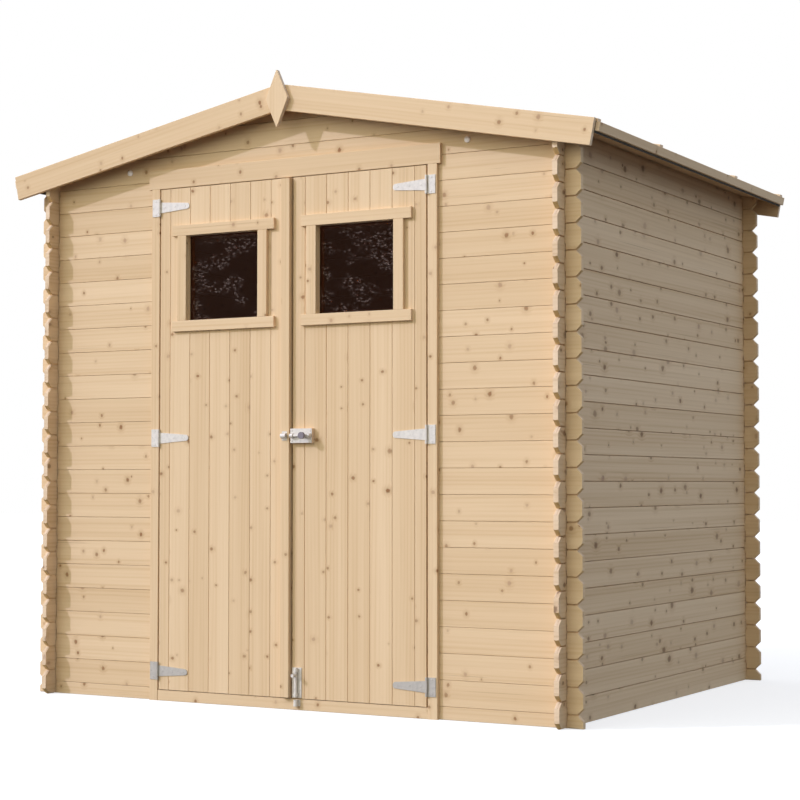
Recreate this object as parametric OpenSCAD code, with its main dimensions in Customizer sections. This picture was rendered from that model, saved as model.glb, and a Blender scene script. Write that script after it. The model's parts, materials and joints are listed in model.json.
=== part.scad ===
// Wooden garden shed: interlocking board walls with crossing corners, low gable roof, double doors.
// Front faces -Y, origin at the plan centre on the ground, millimetres.

/* [Walls] */
// Outer width over the side walls
shed_w = 2120; // [1800:10:2600]
// Outer depth over the front and back walls
shed_d = 1740; // [1400:10:2400]
// Height of the side walls below the tongue
side_z = 1936; // [1760:11:2112]
// Whole boards in the front wall below the gable
wall_courses = 21; // [20:1:23]
// Wall board thickness
wall_t = 18; // [16:1:24]
// How far the board ends run past the crossing wall
end_proj = 58; // [50:1:70]
// Chamfer at the top and bottom of each board end
end_chamfer = 20; // [12:1:24]
// Tongue left standing on the top side board
tongue_h = 10; // [8:1:12]

/* [Roof] */
// Roof pitch in degrees
roof_pitch = 11; // [9:0.5:14]
// Roof board thickness
roof_t = 18; // [16:1:24]
// Roofing felt thickness
felt_t = 2; // [1:0.5:3]
// Felt turned down behind the eaves board, below the roof boards
felt_drop = 17; // [12:1:20]
// Roof boards beyond the side wall, level
eaves_over = 132; // [100:1:170]
// Eaves board thickness
eaves_t = 14; // [12:1:18]
// Eaves board height
eaves_board_h = 30; // [25:1:40]
// Batten thickness on the felt
batten_t = 10; // [8:1:14]
// Batten width
batten_w = 28; // [24:1:40]
// Inner battens from the middle
batten_in = 380; // [300:5:450]
// Battens past the ends of the roof boards
batten_past = 5; // [2:1:10]
// Barge board width
barge_w = 90; // [80:1:110]
// Barge board thickness
barge_t = 16; // [14:1:20]
// Finial width
finial_w = 92; // [80:1:110]
// Finial height
finial_h = 200; // [170:1:220]
// Finial middle below the middle of the barge boards
finial_drop = 8; // [0:1:15]
// Roof beam width
beam_w = 45; // [40:1:60]
// Roof beam depth
beam_h = 100; // [80:1:110]
// Purlins from the middle
purlin_x = 705; // [600:5:760]

/* [Doorway] */
// Clear width between the door casings
doorway_w = 1118; // [1060:2:1200]
// Lintel underside below the gable joint
lintel_drop = 30; // [25:1:40]
// Height of the lintel board
lintel_h = 69; // [60:1:80]
// Lintel beyond the casings
lintel_over = 12; // [8:1:20]
// Casing width
casing_w = 36; // [34:1:45]
// Casing stands proud of the wall
casing_t = 13; // [11:1:18]
// Casing lap over the wall boards
casing_lap = 18; // [14:1:20]
// Door stop behind the leaf edges
stop_lap = 18; // [14:1:22]
// Jamb depth behind the wall face
jamb_d = 45; // [40:1:60]
// Sill height
sill_h = 38; // [34:1:44]

/* [Doors] */
// Clearance around the leaves
leaf_gap = 5; // [5:0.5:7]
// Thickness of a leaf's boards
leaf_t = 18; // [16:1:22]
// Gap between the leaves, right of the middle
meet_x = 18.5; // [16:0.5:30]
// Meeting strip width
strip_w = 36; // [30:1:44]
// Meeting strip thickness
strip_t = 16; // [14:1:20]
// Ledge height
ledge_h = 90; // [80:1:100]
// Ledge thickness
ledge_t = 18; // [16:1:22]
// Window opening width
win_w = 310; // [280:2:330]
// Window opening height
win_h = 309; // [280:1:330]
// Window opening below the top of the leaf
win_drop = 174; // [160:1:190]
// Window middle from the shed's middle
win_x = 277; // [270:1:284]
// Window trim width
trim_w = 39; // [34:1:42]
// Window trim thickness
trim_t = 12; // [10:1:16]
// Head and sill trims beyond the side trims, left
trim_over = 22; // [16:1:24]
// Head and sill trims beyond the side trims, right
trim_over_r = 30; // [16:1:32]
// Pane thickness
pane_t = 4; // [3:0.5:5]
// Pane lap behind the boards
pane_lap = 12; // [10:1:16]
// Glazing bead width
bead_w = 20; // [16:1:24]
// Glazing bead thickness behind the pane
bead_t = 12; // [10:1:14]

/* [Hardware] */
// Hinge strap from the pin to its round tip
strap_l = 120; // [100:1:130]
// Strap width at the pin
strap_root = 40; // [36:1:46]
// Strap width at the tip
strap_tip = 22; // [16:1:28]
// Hinge plate width
plate_w = 28; // [24:1:30]
// Hinge plate height
plate_h = 64; // [60:1:72]
// Sheet thickness of the hardware
metal_t = 2.5; // [2:0.1:3]
// Knuckle radius
knuckle_r = 4.5; // [4:0.1:5]
// Hinge pin radius
pin_r = 2; // [1.5:0.1:2.5]
// Outer hinges from the sill and the lintel
hinge_inset = 69; // [60:1:90]
// Middle bolt above the middle hinges
latch_rise = 1; // [-20:1:40]
// Middle bolt plate length
latch_l = 88; // [80:1:92]
// Middle bolt plate height
latch_h = 50; // [44:1:54]
// Packing under the middle bolt
latch_pack = 14; // [12:1:18]
// Travel of the middle bolt
latch_throw = 25; // [22:1:28]
// Bolt rod radius
rod_r = 5; // [4:0.1:5.5]
// Foot bolt plate width
foot_w = 38; // [34:1:42]
// Foot bolt plate height
foot_h = 104; // [95:1:110]
// Travel of the foot bolt
foot_throw = 22; // [18:1:24]

/* [Floor] */
// Floor board thickness
floor_t = 18; // [16:1:20]
// Joist width
joist_w = 60; // [45:1:70]

/* [Hidden] */
$fn = 48;
EPS = 0.01;
WOOD = [0.84, 0.71, 0.55];
PALE = [0.88, 0.77, 0.62];
ZINC = [0.78, 0.79, 0.8];
FELT = [0.2, 0.21, 0.21];
PANE = [0.2, 0.22, 0.24, 0.5];
hw = shed_w / 2;
hd = shed_d / 2;
front_y = -hd;
end_x = hw + end_proj;
end_y = hd + end_proj;
slope_t = tan(roof_pitch);
slope_s = sin(roof_pitch);
slope_c = cos(roof_pitch);
board_h = side_z / (wall_courses + 1);
gable_z = (wall_courses + 0.5) * board_h;
eaves_h = side_z + tongue_h;
apex_z = eaves_h + hw * slope_t;
roof_u = (hw + eaves_over) / slope_c;
cover_w = roof_t + felt_t;
barge_top = cover_w + batten_t;
lintel_z = gable_z - lintel_drop;
half_door = doorway_w / 2;
jamb_x = half_door + casing_w - casing_lap;
stop_x = half_door - stop_lap;
leaf_front = front_y - casing_t;
leaf_back = leaf_front + leaf_t;
stop_y = leaf_back + leaf_gap;
stop_d = front_y + jamb_d - stop_y;
leaf_x = half_door - leaf_gap;
leaf_z0 = sill_h + leaf_gap;
leaf_z1 = lintel_z - leaf_gap;
pin_x = half_door - leaf_gap / 2;
pin_lift = 0.4;
pin_seat = knuckle_r + pin_lift;
pin_y = leaf_front - pin_seat;
left_edge = meet_x - leaf_gap / 2;
right_edge = meet_x + leaf_gap / 2;
slack = 0.2;
knuckle_gap = 1;
hinge_low = sill_h + hinge_inset;
hinge_top = lintel_z - hinge_inset;
hinge_zs = [hinge_low, (hinge_low + hinge_top) / 2, hinge_top];
seat = 0.3;
win_z = leaf_z1 - win_drop - win_h;
latch_z = (hinge_low + hinge_top) / 2 + latch_rise;
ledge_clear = 2;
ledge_in = stop_lap + leaf_gap + ledge_clear;
ledge_meet = 12;
latch_edge = 1;
latch_x = right_edge + latch_edge;
latch_front = leaf_front - latch_pack - metal_t;
rod_lift = 1;
latch_y = latch_front - rod_r - rod_lift;
guide_l = 12;
guide_in = 4;
guide_wall = 3;
guide_r = rod_r + guide_wall;
rod_slack = 0.4;
knob_r = 6;
knob_l = 24;
knob_edge = 4;
head_r = 12;
head_l = 9;
keeper_l = 20;
keeper_h = 32;
foot_edge = 2;
foot_x = right_edge + foot_edge;
foot_rod_x = foot_x + foot_w / 2;
foot_y = leaf_front - metal_t - rod_r - rod_lift;
rod_in = 1;
foot_tip = leaf_z0 + rod_in;
foot_keeper_h = 22;
foot_keeper_w = 26;
foot_keeper_gap = 2;
joist_h = sill_h - floor_t;
joist_n = 5;
floor_slack = 2;
sill_back = 2;
sill_front = leaf_front + sill_back;

// Height of the roof's underside at x
function under(x) = apex_z - abs(x) * slope_t;

// What carries the roof stops a hair below it
function seat_z(x) = under(x) - seat;

// Point on a slope: u down from the ridge, w out from the underside
function on_slope(u, w) = [u * slope_c + w * slope_s, apex_z - u * slope_s + w * slope_c];

// Band of a slope between two depths, mitred at the ridge
function band(w0, w1, u1) = [
  [0, apex_z + w0 / slope_c], on_slope(u1, w0), on_slope(u1, w1), [0, apex_z + w1 / slope_c]
];

// Chamfered board ends going up: joints from z1, n of them
function end_steps(xe, z1, n) = [
  for (k = [0 : n - 1])
    for (p = [[xe, -end_chamfer], [xe - end_chamfer, 0], [xe, end_chamfer]]) [p[0], z1 + k * board_h + p[1]]
];

function turn(points) = [for (i = [len(points) - 1 : -1 : 0]) [-points[i][0], points[i][1]]];

// Stands a plan drawn in x and z upright, thickness t towards +Y from y
module upright(y, t) {
  translate([0, y + t, 0]) rotate([90, 0, 0]) linear_extrude(height = t) children();
}

module right_half(left) {
  if (left) mirror([1, 0, 0]) children();
  else children();
}

module front_notches() {
  for (s = [-1, 1])
    for (k = [0 : wall_courses])
      translate([s * (hw - wall_t / 2) - wall_t / 2, (k + 0.25) * board_h]) square([wall_t, board_h / 2]);
}

module front_side() {
  upright(front_y, wall_t)
    difference() {
      polygon(concat(
        [[jamb_x, 0], [end_x, 0]],
        end_steps(end_x, board_h / 2, wall_courses),
        [[end_x, gable_z - end_chamfer], [end_x - end_chamfer, gable_z], [jamb_x, gable_z]]));
      front_notches();
    }
}

function gable_right() = [
  [end_x - end_chamfer, gable_z], [end_x, gable_z + end_chamfer], [end_x, seat_z(end_x)]
];

module front_wall_left() {
  color(WOOD) right_half(true) front_side();
}

module front_wall_right() {
  color(WOOD) right_half(false) front_side();
}

module front_gable() {
  color(WOOD)
    upright(front_y, wall_t)
      difference() {
        polygon(concat(gable_right(), [[0, seat_z(0)]], turn(gable_right())));
        front_notches();
      }
}

function back_right() = concat(
  [[end_x, 0]],
  end_steps(end_x, board_h / 2, wall_courses),
  [[end_x, gable_z - end_chamfer]],
  gable_right());

module back_wall() {
  color(WOOD)
    upright(hd - wall_t, wall_t)
      difference() {
        polygon(concat(back_right(), [[0, seat_z(0)]], turn(back_right())));
        front_notches();
      }
}

function side_end() = concat(
  [[end_y - end_chamfer, 0], [end_y, end_chamfer]],
  end_steps(end_y, board_h, wall_courses),
  [[end_y, side_z]]);

module side_wall() {
  translate([hw - wall_t, 0, 0])
    rotate([90, 0, 90])
      linear_extrude(height = wall_t)
        difference() {
          polygon(concat(side_end(), turn(side_end())));
          for (s = [-1, 1]) {
            translate([s * (hd - wall_t / 2) - wall_t / 2, 0]) square([wall_t, board_h / 4]);
            for (k = [0 : wall_courses])
              translate([s * (hd - wall_t / 2) - wall_t / 2, (k + 0.75) * board_h])
                square([wall_t, board_h / 2]);
          }
        }
  translate([hw - wall_t * 2 / 3, -hd + wall_t, side_z - EPS])
    cube([wall_t / 3, shed_d - 2 * wall_t, tongue_h + wall_t / 3 * slope_t - seat + EPS]);
}

module left_wall() {
  color(WOOD) right_half(true) side_wall();
}

module right_wall() {
  color(WOOD) right_half(false) side_wall();
}

module door_post() {
  linear_extrude(height = lintel_z)
    polygon([
      [half_door, leaf_front], [half_door + casing_w, leaf_front], [half_door + casing_w, front_y],
      [jamb_x, front_y], [jamb_x, front_y + jamb_d], [stop_x, front_y + jamb_d],
      [stop_x, stop_y], [half_door, stop_y]]);
}

module door_post_left() {
  color(PALE) right_half(true) door_post();
}

module door_post_right() {
  color(PALE) right_half(false) door_post();
}

module door_lintel() {
  lintel_x = half_door + casing_w + lintel_over;
  color(PALE) {
    translate([-lintel_x, leaf_front, lintel_z]) cube([2 * lintel_x, casing_t, lintel_h]);
    translate([-jamb_x, front_y - EPS, lintel_z]) cube([2 * jamb_x, jamb_d + EPS, lintel_drop]);
    translate([-stop_x, stop_y, lintel_z - stop_lap]) cube([2 * stop_x, stop_d, stop_lap + EPS]);
  }
}

module door_sill() {
  color(PALE) {
    translate([-half_door, sill_front, 0]) cube([doorway_w, stop_y - sill_front, sill_h]);
    translate([-stop_x, stop_y - EPS, 0]) cube([2 * stop_x, stop_d + EPS, sill_h]);
  }
}

module floor_boards() {
  floor_x = hw - wall_t - floor_slack;
  floor_y = hd - wall_t - floor_slack;
  color(WOOD)
    difference() {
      translate([-floor_x, -floor_y, joist_h]) cube([2 * floor_x, 2 * floor_y, floor_t]);
      translate([-jamb_x - floor_slack, -hd, joist_h - floor_t])
        cube([2 * (jamb_x + floor_slack), jamb_d + floor_slack, 3 * floor_t]);
    }
}

module floor_joists() {
  joist_x = hw - wall_t;
  reach = hd - jamb_d - joist_w;
  color(WOOD)
    for (k = [0 : joist_n - 1])
      translate([-joist_x, -reach + k * 2 * reach / (joist_n - 1) - joist_w / 2, 0])
        cube([2 * joist_x, joist_w, joist_h]);
}

module ridge_beam() {
  b = beam_w / 2;
  color(WOOD)
    upright(-hd + wall_t, shed_d - 2 * wall_t)
      polygon([[-b, apex_z - beam_h], [b, apex_z - beam_h], [b, seat_z(b)], [0, seat_z(0)], [-b, seat_z(b)]]);
}

module purlins() {
  b = beam_w / 2;
  color(WOOD)
    for (s = [-1, 1])
      upright(-hd + wall_t, shed_d - 2 * wall_t)
        polygon([
          [s * purlin_x - b, under(purlin_x) - beam_h], [s * purlin_x + b, under(purlin_x) - beam_h],
          [s * purlin_x + b, seat_z(s * purlin_x + b)], [s * purlin_x - b, seat_z(s * purlin_x - b)]]);
}

module roof_layer(w0, w1, u1) {
  upright(-end_y, 2 * end_y) polygon(band(w0, w1, u1));
}

module roof_boards_left() {
  color(WOOD) right_half(true) roof_layer(0, roof_t, roof_u);
}

module roof_boards_right() {
  color(WOOD) right_half(false) roof_layer(0, roof_t, roof_u);
}

module roof_felt() {
  low = roof_t + seat;
  slope = [
    on_slope(roof_u + seat, low), on_slope(roof_u + seat, -felt_drop),
    on_slope(roof_u + felt_t, -felt_drop), on_slope(roof_u + felt_t, cover_w)
  ];
  color(FELT)
    upright(-end_y, 2 * end_y)
      polygon(concat([[0, apex_z + low / slope_c]], slope, [[0, apex_z + cover_w / slope_c]], turn(slope)));
}

module roof_battens() {
  batten_out = end_y - batten_w / 2;
  start = batten_w / 2;
  stop = roof_u + batten_past;
  for (y = [-batten_out, -batten_in, batten_in, batten_out])
    upright(y - batten_w / 2, batten_w)
      polygon([
        on_slope(start, cover_w + seat), on_slope(stop, cover_w + seat),
        on_slope(stop, barge_top), on_slope(start, barge_top)]);
}

module roof_battens_left() {
  color(WOOD) right_half(true) roof_battens();
}

module roof_battens_right() {
  color(WOOD) right_half(false) roof_battens();
}

module barge(y) {
  upright(y, barge_t) polygon(band(barge_top - barge_w, barge_top, roof_u));
}

module front_barge_left() {
  color(PALE) right_half(true) barge(-end_y - barge_t);
}

module front_barge_right() {
  color(PALE) right_half(false) barge(-end_y - barge_t);
}

module back_barge_left() {
  color(PALE) right_half(true) barge(end_y);
}

module back_barge_right() {
  color(PALE) right_half(false) barge(end_y);
}

module finial(y) {
  mid = apex_z + (barge_top - barge_w / 2) / slope_c - finial_drop;
  upright(y, barge_t)
    translate([0, mid])
      polygon([[0, -finial_h / 2], [finial_w / 2, 0], [0, finial_h / 2], [-finial_w / 2, 0]]);
}

module front_finial() {
  color(PALE) finial(-end_y - 2 * barge_t);
}

module back_finial() {
  color(PALE) finial(end_y + barge_t);
}

module eaves_board() {
  back = roof_u + felt_t + seat;
  face = roof_u + felt_t + eaves_t;
  low = cover_w - eaves_board_h;
  upright(-end_y, 2 * end_y)
    polygon([on_slope(back, low), on_slope(face, low), on_slope(face, cover_w), on_slope(back, cover_w)]);
}

module eaves_board_left() {
  color(PALE) right_half(true) eaves_board();
}

module eaves_board_right() {
  color(PALE) right_half(false) eaves_board();
}

// One hinge plate with its pin, the pin at the origin, the casing towards +X
module hinge_plate() {
  lug_z = strap_root / 2 + knuckle_gap;
  lug_h = plate_h / 2 - lug_z;
  plate_x = knuckle_r + knuckle_gap;
  translate([plate_x, pin_seat - metal_t, -plate_h / 2]) cube([plate_w, metal_t, plate_h]);
  for (z = [-plate_h / 2, lug_z]) {
    translate([0, pin_seat - metal_t, z]) cube([plate_x + EPS, metal_t, lug_h]);
    translate([0, 0, z]) cylinder(r = knuckle_r, h = lug_h);
  }
  cylinder(r = pin_r, h = plate_h, center = true);
}

// One hinge strap, the pin at the origin, the leaf towards -X
module hinge_strap() {
  difference() {
    union() {
      translate([0, pin_seat, 0]) rotate([90, 0, 0]) linear_extrude(height = metal_t)
        polygon([
          [0, -strap_root / 2], [0, strap_root / 2],
          [-strap_l, strap_tip / 2], [-strap_l, -strap_tip / 2]]);
      translate([-strap_l, pin_seat, 0]) rotate([90, 0, 0]) cylinder(r = strap_tip / 2, h = metal_t);
      cylinder(r = knuckle_r, h = strap_root, center = true);
    }
    cylinder(r = pin_r + slack, h = strap_root + plate_h, center = true);
  }
}

module at_hinges(left) {
  for (z = hinge_zs)
    translate([left ? -pin_x : pin_x, pin_y, z]) rotate([0, left ? 180 : 0, 0]) children();
}

module left_hinge_plates() {
  color(ZINC) at_hinges(true) hinge_plate();
}

module right_hinge_plates() {
  color(ZINC) at_hinges(false) hinge_plate();
}

module left_hinge_straps() {
  color(ZINC) at_hinges(true) hinge_strap();
}

module right_hinge_straps() {
  color(ZINC) at_hinges(false) hinge_strap();
}

module leaf(x0, x1, wx) {
  difference() {
    translate([x0, leaf_front, leaf_z0]) cube([x1 - x0, leaf_t, leaf_z1 - leaf_z0]);
    translate([wx - win_w / 2, leaf_front - leaf_t, win_z]) cube([win_w, 3 * leaf_t, win_h]);
  }
}

module ledges(x0, x1) {
  for (z = hinge_zs) translate([x0, leaf_back, z - ledge_h / 2]) cube([x1 - x0, ledge_t, ledge_h]);
}

// Head, sill and two side trims with a hairline joint between them
module window_trim(wx) {
  side_x = win_w / 2 + trim_w;
  trim_y = leaf_front - trim_t;
  for (z = [win_z - trim_w, win_z + win_h])
    translate([wx - side_x - trim_over, trim_y, z])
      cube([2 * side_x + trim_over + trim_over_r, trim_t, trim_w]);
  for (x = [wx - side_x, wx + win_w / 2])
    translate([x, trim_y, win_z + slack]) cube([trim_w, trim_t, win_h - 2 * slack]);
}

module window_pane(wx) {
  translate([wx - win_w / 2 - pane_lap, leaf_back, win_z - pane_lap])
    cube([win_w + 2 * pane_lap, pane_t, win_h + 2 * pane_lap]);
}

// Four beads round the pane's back edge with a hairline joint between them
module window_beads(wx) {
  bead_x = win_w / 2 + pane_lap;
  bead_y = leaf_back + pane_t;
  for (z = [win_z - pane_lap, win_z + win_h + pane_lap - bead_w])
    translate([wx - bead_x, bead_y, z]) cube([2 * bead_x, bead_t, bead_w]);
  for (x = [wx - bead_x, wx + bead_x - bead_w])
    translate([x, bead_y, win_z - pane_lap + bead_w + slack])
      cube([bead_w, bead_t, win_h + 2 * (pane_lap - bead_w - slack)]);
}

module left_door_leaf() {
  color(PALE) leaf(-leaf_x, left_edge, -win_x);
}

module left_door_ledges() {
  color(WOOD) ledges(-leaf_x + ledge_in, left_edge - ledge_meet);
}

module left_window_trim() {
  color(PALE) window_trim(-win_x);
}

module left_window_pane() {
  color(PANE) window_pane(-win_x);
}

module left_window_beads() {
  color(PALE) window_beads(-win_x);
}

module meeting_strip() {
  color(PALE)
    translate([left_edge - strip_w, leaf_front - strip_t, leaf_z0])
      cube([strip_w, strip_t, leaf_z1 - leaf_z0]);
}

module right_door_leaf() {
  color(PALE) leaf(right_edge, leaf_x, win_x);
}

module right_door_ledges() {
  color(WOOD) ledges(right_edge + ledge_meet, leaf_x - ledge_in);
}

module right_window_trim() {
  color(PALE) window_trim(win_x);
}

module right_window_pane() {
  color(PANE) window_pane(win_x);
}

module right_window_beads() {
  color(PALE) window_beads(win_x);
}

module latch_block() {
  color(PALE)
    translate([latch_x, leaf_front - latch_pack, latch_z - latch_h / 2])
      cube([latch_l, latch_pack, latch_h]);
}

module latch_plate() {
  color(ZINC)
    difference() {
      union() {
        translate([latch_x, latch_front, latch_z - latch_h / 2]) cube([latch_l, metal_t, latch_h]);
        for (x = [latch_x + guide_in, latch_x + latch_l - guide_in - guide_l]) {
          translate([x, latch_y, latch_z]) rotate([0, 90, 0]) cylinder(r = guide_r, h = guide_l);
          translate([x, latch_y, latch_z - guide_r])
            cube([guide_l, latch_front - latch_y + EPS, 2 * guide_r]);
        }
      }
      translate([latch_x - latch_l, latch_y, latch_z]) rotate([0, 90, 0])
        cylinder(r = rod_r + rod_slack, h = 3 * latch_l);
    }
}

module latch_rod() {
  knob_x = latch_x + latch_l - guide_in - guide_l - knob_r - knob_edge;
  color(ZINC) {
    translate([latch_x + rod_in, latch_y, latch_z]) rotate([0, 90, 0])
      cylinder(r = rod_r, h = latch_l - 2 * rod_in);
    translate([knob_x, latch_y, latch_z]) rotate([90, 0, 0]) cylinder(r = knob_r, h = knob_l);
    translate([knob_x, latch_y - knob_l + head_l, latch_z]) rotate([90, 0, 0])
      cylinder(r = head_r, h = head_l);
  }
}

module latch_keeper() {
  strip_front = leaf_front - strip_t;
  keeper_x = left_edge - strip_w / 2 - keeper_l / 2;
  color(ZINC)
    difference() {
      union() {
        translate([keeper_x, latch_y, latch_z]) rotate([0, 90, 0]) cylinder(r = guide_r + 1, h = keeper_l);
        translate([keeper_x, latch_y, latch_z - guide_r - 1])
          cube([keeper_l, strip_front - latch_y, 2 * (guide_r + 1)]);
        translate([keeper_x, strip_front - metal_t / 2, latch_z - keeper_h / 2])
          cube([keeper_l, metal_t / 2, keeper_h]);
      }
      translate([keeper_x - keeper_l, latch_y, latch_z]) rotate([0, 90, 0])
        cylinder(r = rod_r + 2 * rod_slack, h = 3 * keeper_l);
      translate([keeper_x - keeper_l, strip_front, latch_z - keeper_h])
        cube([3 * keeper_l, 2 * guide_r, 2 * keeper_h]);
    }
}

module foot_bolt_plate() {
  color(ZINC)
    difference() {
      union() {
        translate([foot_x, leaf_front - metal_t, leaf_z0]) cube([foot_w, metal_t, foot_h]);
        for (z = [leaf_z0 + guide_in, leaf_z0 + foot_h - guide_in - guide_l]) {
          translate([foot_rod_x, foot_y, z]) cylinder(r = guide_r, h = guide_l);
          translate([foot_rod_x - guide_r, foot_y, z]) cube([2 * guide_r, leaf_front - foot_y, guide_l]);
        }
      }
      translate([foot_rod_x, foot_y, 0]) cylinder(r = rod_r + rod_slack, h = leaf_z0 + 2 * foot_h);
    }
}

module foot_bolt_rod() {
  knob_z = leaf_z0 + foot_h - guide_in - guide_l - knob_r - knob_edge;
  color(ZINC) {
    translate([foot_rod_x, foot_y, foot_tip]) cylinder(r = rod_r, h = foot_h - 2 * rod_in);
    translate([foot_rod_x, foot_y, knob_z]) rotate([90, 0, 0]) cylinder(r = knob_r, h = knob_l);
  }
}

module foot_bolt_keeper() {
  keeper_z = sill_h - foot_keeper_h - foot_keeper_gap;
  color(ZINC)
    difference() {
      union() {
        translate([foot_rod_x, foot_y, keeper_z]) cylinder(r = guide_r, h = foot_keeper_h);
        translate([foot_rod_x - guide_r, foot_y, keeper_z])
          cube([2 * guide_r, sill_front - foot_y, foot_keeper_h]);
        translate([foot_rod_x - foot_keeper_w / 2, sill_front - metal_t, keeper_z])
          cube([foot_keeper_w, metal_t, foot_keeper_h]);
      }
      translate([foot_rod_x, foot_y, -foot_keeper_h])
        cylinder(r = rod_r + 2 * rod_slack, h = 4 * foot_keeper_h);
    }
}

front_wall_left();
front_wall_right();
front_gable();
back_wall();
left_wall();
right_wall();
door_post_left();
door_post_right();
door_lintel();
door_sill();
floor_boards();
floor_joists();
ridge_beam();
purlins();
roof_boards_left();
roof_boards_right();
roof_felt();
roof_battens_left();
roof_battens_right();
front_barge_left();
front_barge_right();
back_barge_left();
back_barge_right();
front_finial();
back_finial();
eaves_board_left();
eaves_board_right();
left_hinge_plates();
right_hinge_plates();
foot_bolt_keeper();
left_door_leaf();
left_door_ledges();
left_window_trim();
left_window_pane();
left_window_beads();
left_hinge_straps();
meeting_strip();
latch_keeper();
right_door_leaf();
right_door_ledges();
right_window_trim();
right_window_pane();
right_window_beads();
right_hinge_straps();
latch_block();
latch_plate();
foot_bolt_plate();
latch_rod();
foot_bolt_rod();
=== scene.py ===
import json
import math

import bmesh
import bpy
import numpy as np
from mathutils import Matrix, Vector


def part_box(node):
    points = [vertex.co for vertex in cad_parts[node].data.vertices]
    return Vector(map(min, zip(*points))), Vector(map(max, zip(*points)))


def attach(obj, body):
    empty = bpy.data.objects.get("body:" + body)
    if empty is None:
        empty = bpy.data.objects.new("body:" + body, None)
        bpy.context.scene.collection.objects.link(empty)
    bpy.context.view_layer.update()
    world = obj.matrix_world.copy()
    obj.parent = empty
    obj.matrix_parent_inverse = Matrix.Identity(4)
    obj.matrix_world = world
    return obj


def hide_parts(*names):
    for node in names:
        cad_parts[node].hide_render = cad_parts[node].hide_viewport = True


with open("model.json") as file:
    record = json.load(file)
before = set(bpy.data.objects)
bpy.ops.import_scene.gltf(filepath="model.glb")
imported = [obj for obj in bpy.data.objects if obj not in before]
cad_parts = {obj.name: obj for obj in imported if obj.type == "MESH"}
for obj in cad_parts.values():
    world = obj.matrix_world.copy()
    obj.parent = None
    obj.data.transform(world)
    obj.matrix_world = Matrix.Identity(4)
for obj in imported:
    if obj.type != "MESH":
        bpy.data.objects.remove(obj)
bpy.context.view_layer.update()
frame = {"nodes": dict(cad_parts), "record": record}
nodes = frame["nodes"]
rng = np.random.default_rng(11)
print("frame loaded:", len(nodes), "nodes")

view = {"place": (3.5969, -6.4270, 0.7867), "yaw": 29.56, "pitch": 2.52, "lens": 84.83, "sensor": 36.0}
camData = bpy.data.cameras.new("photoCamera")
camData.lens = view["lens"]
camData.sensor_width = view["sensor"]
camera = bpy.data.objects.new("photoCamera", camData)
camera.location = view["place"]
camera.rotation_euler = (math.radians(90 + view["pitch"]), 0, math.radians(view["yaw"]))
bpy.context.scene.collection.objects.link(camera)
bpy.context.scene.camera = camera

shed = {  # metres, and degrees for the roof's pitch
    "halfW": 1.060, "halfD": 0.870, "boardH": 0.088, "courses": 21, "wallT": 0.018, "pitch": 11.0,
    "endPast": 0.058, "endCut": 0.020, "endStray": 0.0012, "notchGap": 0.0022, "tongue": 0.010, "hair": 0.0003,
    "frontGap": 0.0017, "sideGap": 0.0009, "doorEdge": 0.577, "gableCourses": 3, "gableTip": 0.004,
}
halfW, halfD, boardH, wallT = shed["halfW"], shed["halfD"], shed["boardH"], shed["wallT"]
endX, endY = halfW + shed["endPast"], halfD + shed["endPast"]
pitch = math.radians(shed["pitch"])
sideTop = (shed["courses"] + 1) * boardH
gableZ = (shed["courses"] + 0.5) * boardH
apexZ = sideTop + shed["tongue"] + halfW * math.tan(pitch)


# Materials


def addNode(tree, kind, inputs=None, **props):
    # a shader node with its properties set, each input linked to a socket or given a value
    node = tree.nodes.new(kind)
    for key, value in props.items():
        setattr(node, key, value)
    for key, value in (inputs or {}).items():
        if isinstance(value, bpy.types.NodeSocket):
            tree.links.new(value, node.inputs[key])
        else:
            node.inputs[key].default_value = value
    return node


def calc(tree, op, a, b=0.0, c=0.0, clamp=False):  # one step of arithmetic on a, b and c
    return addNode(tree, "ShaderNodeMath", {0: a, 1: b, 2: c}, operation=op, use_clamp=clamp).outputs[0]


def ramp(tree, value, low, high):  # 0 at low, 1 at high, eased between
    node = addNode(tree, "ShaderNodeMapRange", {"Value": value, "From Min": low, "From Max": high},
                   interpolation_type="SMOOTHSTEP")
    return node.outputs[0]


def blendColor(tree, factor, a, b, mode="MIX"):  # a at factor 0, b or a times b at factor 1
    node = addNode(tree, "ShaderNodeMix", {0: factor, 6: a, 7: b}, data_type="RGBA", blend_type=mode)
    return node.outputs[2]


def noise(tree, place, scale, detail):  # soft noise of about scale waves per metre
    return addNode(tree, "ShaderNodeTexNoise", {"Vector": place, "Scale": scale, "Detail": detail}).outputs[0]


def newMaterial(name):  # a material, its node tree and its main shader
    mat = bpy.data.materials.new(name)
    mat.use_nodes = True
    tree = mat.node_tree
    shader = tree.nodes["Principled BSDF"]
    return mat, tree, shader


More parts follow.
